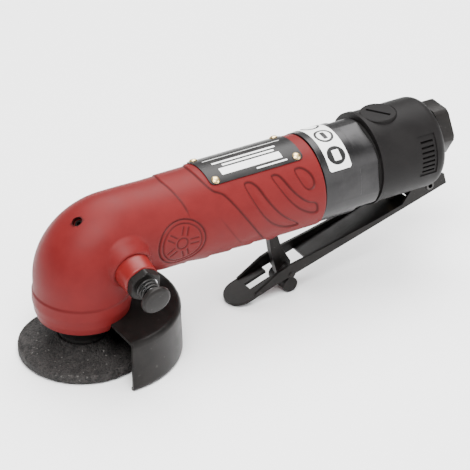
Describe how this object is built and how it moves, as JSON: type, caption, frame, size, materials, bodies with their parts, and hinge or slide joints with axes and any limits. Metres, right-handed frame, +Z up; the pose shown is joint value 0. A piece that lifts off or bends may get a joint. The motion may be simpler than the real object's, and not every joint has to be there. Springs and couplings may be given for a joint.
{
  "type": "pneumatic angle grinder",
  "caption": "Pneumatic right-angle disc grinder: rubber-covered angle head with steel guard and spindle lock, lock-off throttle lever, composite rear housing and hexagon air inlet.",
  "frame": {"origin": "middle of the tool's box, on the surface that it stands on", "axes": "+X along the handle towards the air inlet, +Z up, parallel to the wheel spindle"},
  "size_m": [0.2197, 0.0862, 0.0788],
  "materials": {
    "red_rubber": "matte",
    "red_paint": "satin",
    "black_steel": "satin black oxide",
    "band_steel": "satin, darkened",
    "bright_steel": "ground",
    "bearing_steel": "polished",
    "spring_steel": "drawn wire",
    "brass": "satin",
    "composite": "moulded texture",
    "seal_rubber": "matte",
    "gasket": "pressed fibre",
    "vane_plastic": "laminate",
    "abrasive": "coarse grit in resin",
    "felt": "porous",
    "plate_black": "etched plate",
    "label_white": "printed film"
  },
  "bodies": {
    "handle_group": {"head_housing": "red_paint", "rubber_cover": "red_rubber", "oil_plug": "black_steel", "guard": "black_steel", "guard_screws": "black_steel", "bearing_cap": "bright_steel", "spindle_seal": "seal_rubber", "spindle_bearing_spacer": "bright_steel", "spindle_bearing_outer_races": "bearing_steel", "lock_guide": "bright_steel", "lock_nut": "black_steel", "lock_spring": "spring_steel", "motor_housing": "band_steel", "pinion_retainer": "bright_steel", "front_end_plate": "bright_steel", "rear_end_plate": "bright_steel", "cylinder_liner": "bright_steel", "liner_dowel": "bright_steel", "motor_clamp_ring": "bright_steel", "rotor_bearing_outer_races": "bearing_steel", "housing_gasket": "gasket", "rear_housing": "composite", "exhaust_grille": "composite", "exhaust_muffler": "felt", "valve_seat": "brass", "valve_guide": "brass", "stem_seal": "seal_rubber", "valve_spring": "spring_steel", "inlet_bushing": "black_steel", "inlet_washer": "seal_rubber", "inlet_screen": "brass", "lever_pin": "bright_steel", "nameplate": "plate_black", "nameplate_screws": "brass", "band_label": "label_white"},
    "spindle_group": {"spindle": "bright_steel", "spindle_sleeve": "bright_steel", "spindle_key": "bright_steel", "bevel_gear": "bright_steel", "gear_nut": "bright_steel", "inner_flange": "bright_steel", "grinding_wheel": "abrasive", "flange_nut": "black_steel", "spindle_bearing_inner_races": "bearing_steel", "spindle_bearing_balls": "bearing_steel"},
    "rotor_group": {"rotor": "bright_steel", "rotor_vanes": "vane_plastic", "bevel_pinion": "bright_steel", "pinion_spacer": "bright_steel", "rotor_bearing_inner_races": "bearing_steel", "rotor_bearing_balls": "bearing_steel"},
    "lever_group": {"throttle_lever": "black_steel", "lock_lever_pin": "black_steel"},
    "lock_lever_group": {"lock_lever": "black_steel"},
    "valve_group": {"valve_stem": "bright_steel", "valve_poppet": "brass"},
    "regulator_group": {"regulator": "composite", "regulator_seal": "seal_rubber"},
    "lock_plunger": {"lock_pin": "bright_steel", "lock_button": "black_steel"}
  },
  "joints": [
    {"name": "spindle_spin", "type": "hinge", "parent": "handle_group", "child": "spindle_group", "pos_m": [-0.0807, 0.00272, 0.0338], "axis": [0, 0, 1], "continuous": true},
    {"name": "rotor_spin", "type": "hinge", "parent": "handle_group", "child": "rotor_group", "pos_m": [-0.0207, 0.00272, 0.0552], "axis": [1, 0, 0], "continuous": true},
    {"name": "lever_pivot", "type": "hinge", "parent": "handle_group", "child": "lever_group", "pos_m": [0.1004, 0.00272, 0.0362], "axis": [0, 1, 0], "range_deg": [0, 10.5], "stiffness_Nm_per_rad": 3, "springref_deg": -28.65},
    {"name": "lock_lever_pivot", "type": "hinge", "parent": "lever_group", "child": "lock_lever_group", "pos_m": [0.0243, 0.00272, 0.011], "axis": [0, -1, 0], "range_deg": [0, 80]},
    {"name": "valve_slide", "type": "slide", "parent": "handle_group", "child": "valve_group", "axis": [0, 0, 1], "range_m": [0, 0.0034], "deforming": ["valve_spring"]},
    {"name": "regulator_turn", "type": "hinge", "parent": "handle_group", "child": "regulator_group", "pos_m": [0.0748, 0.00272, 0.0608], "axis": [0, 0, 1], "range_deg": [0, 90]},
    {"name": "lock_press", "type": "slide", "parent": "handle_group", "child": "lock_plunger", "axis": [0, 0.9781, 0.2079], "range_m": [0, 0.0034], "stiffness_N_per_m": 1500, "springref_m": -0.003, "deforming": ["lock_spring"]}
  ],
  "couplings": [
    {"joint": "rotor_spin", "follows": "spindle_spin", "ratio": 1.5},
    {"joint": "lock_lever_pivot", "follows": "lever_pivot", "ratio": 7.4},
    {"joint": "valve_slide", "follows": "lever_pivot", "m_per_rad": 0.0176}
  ]
}
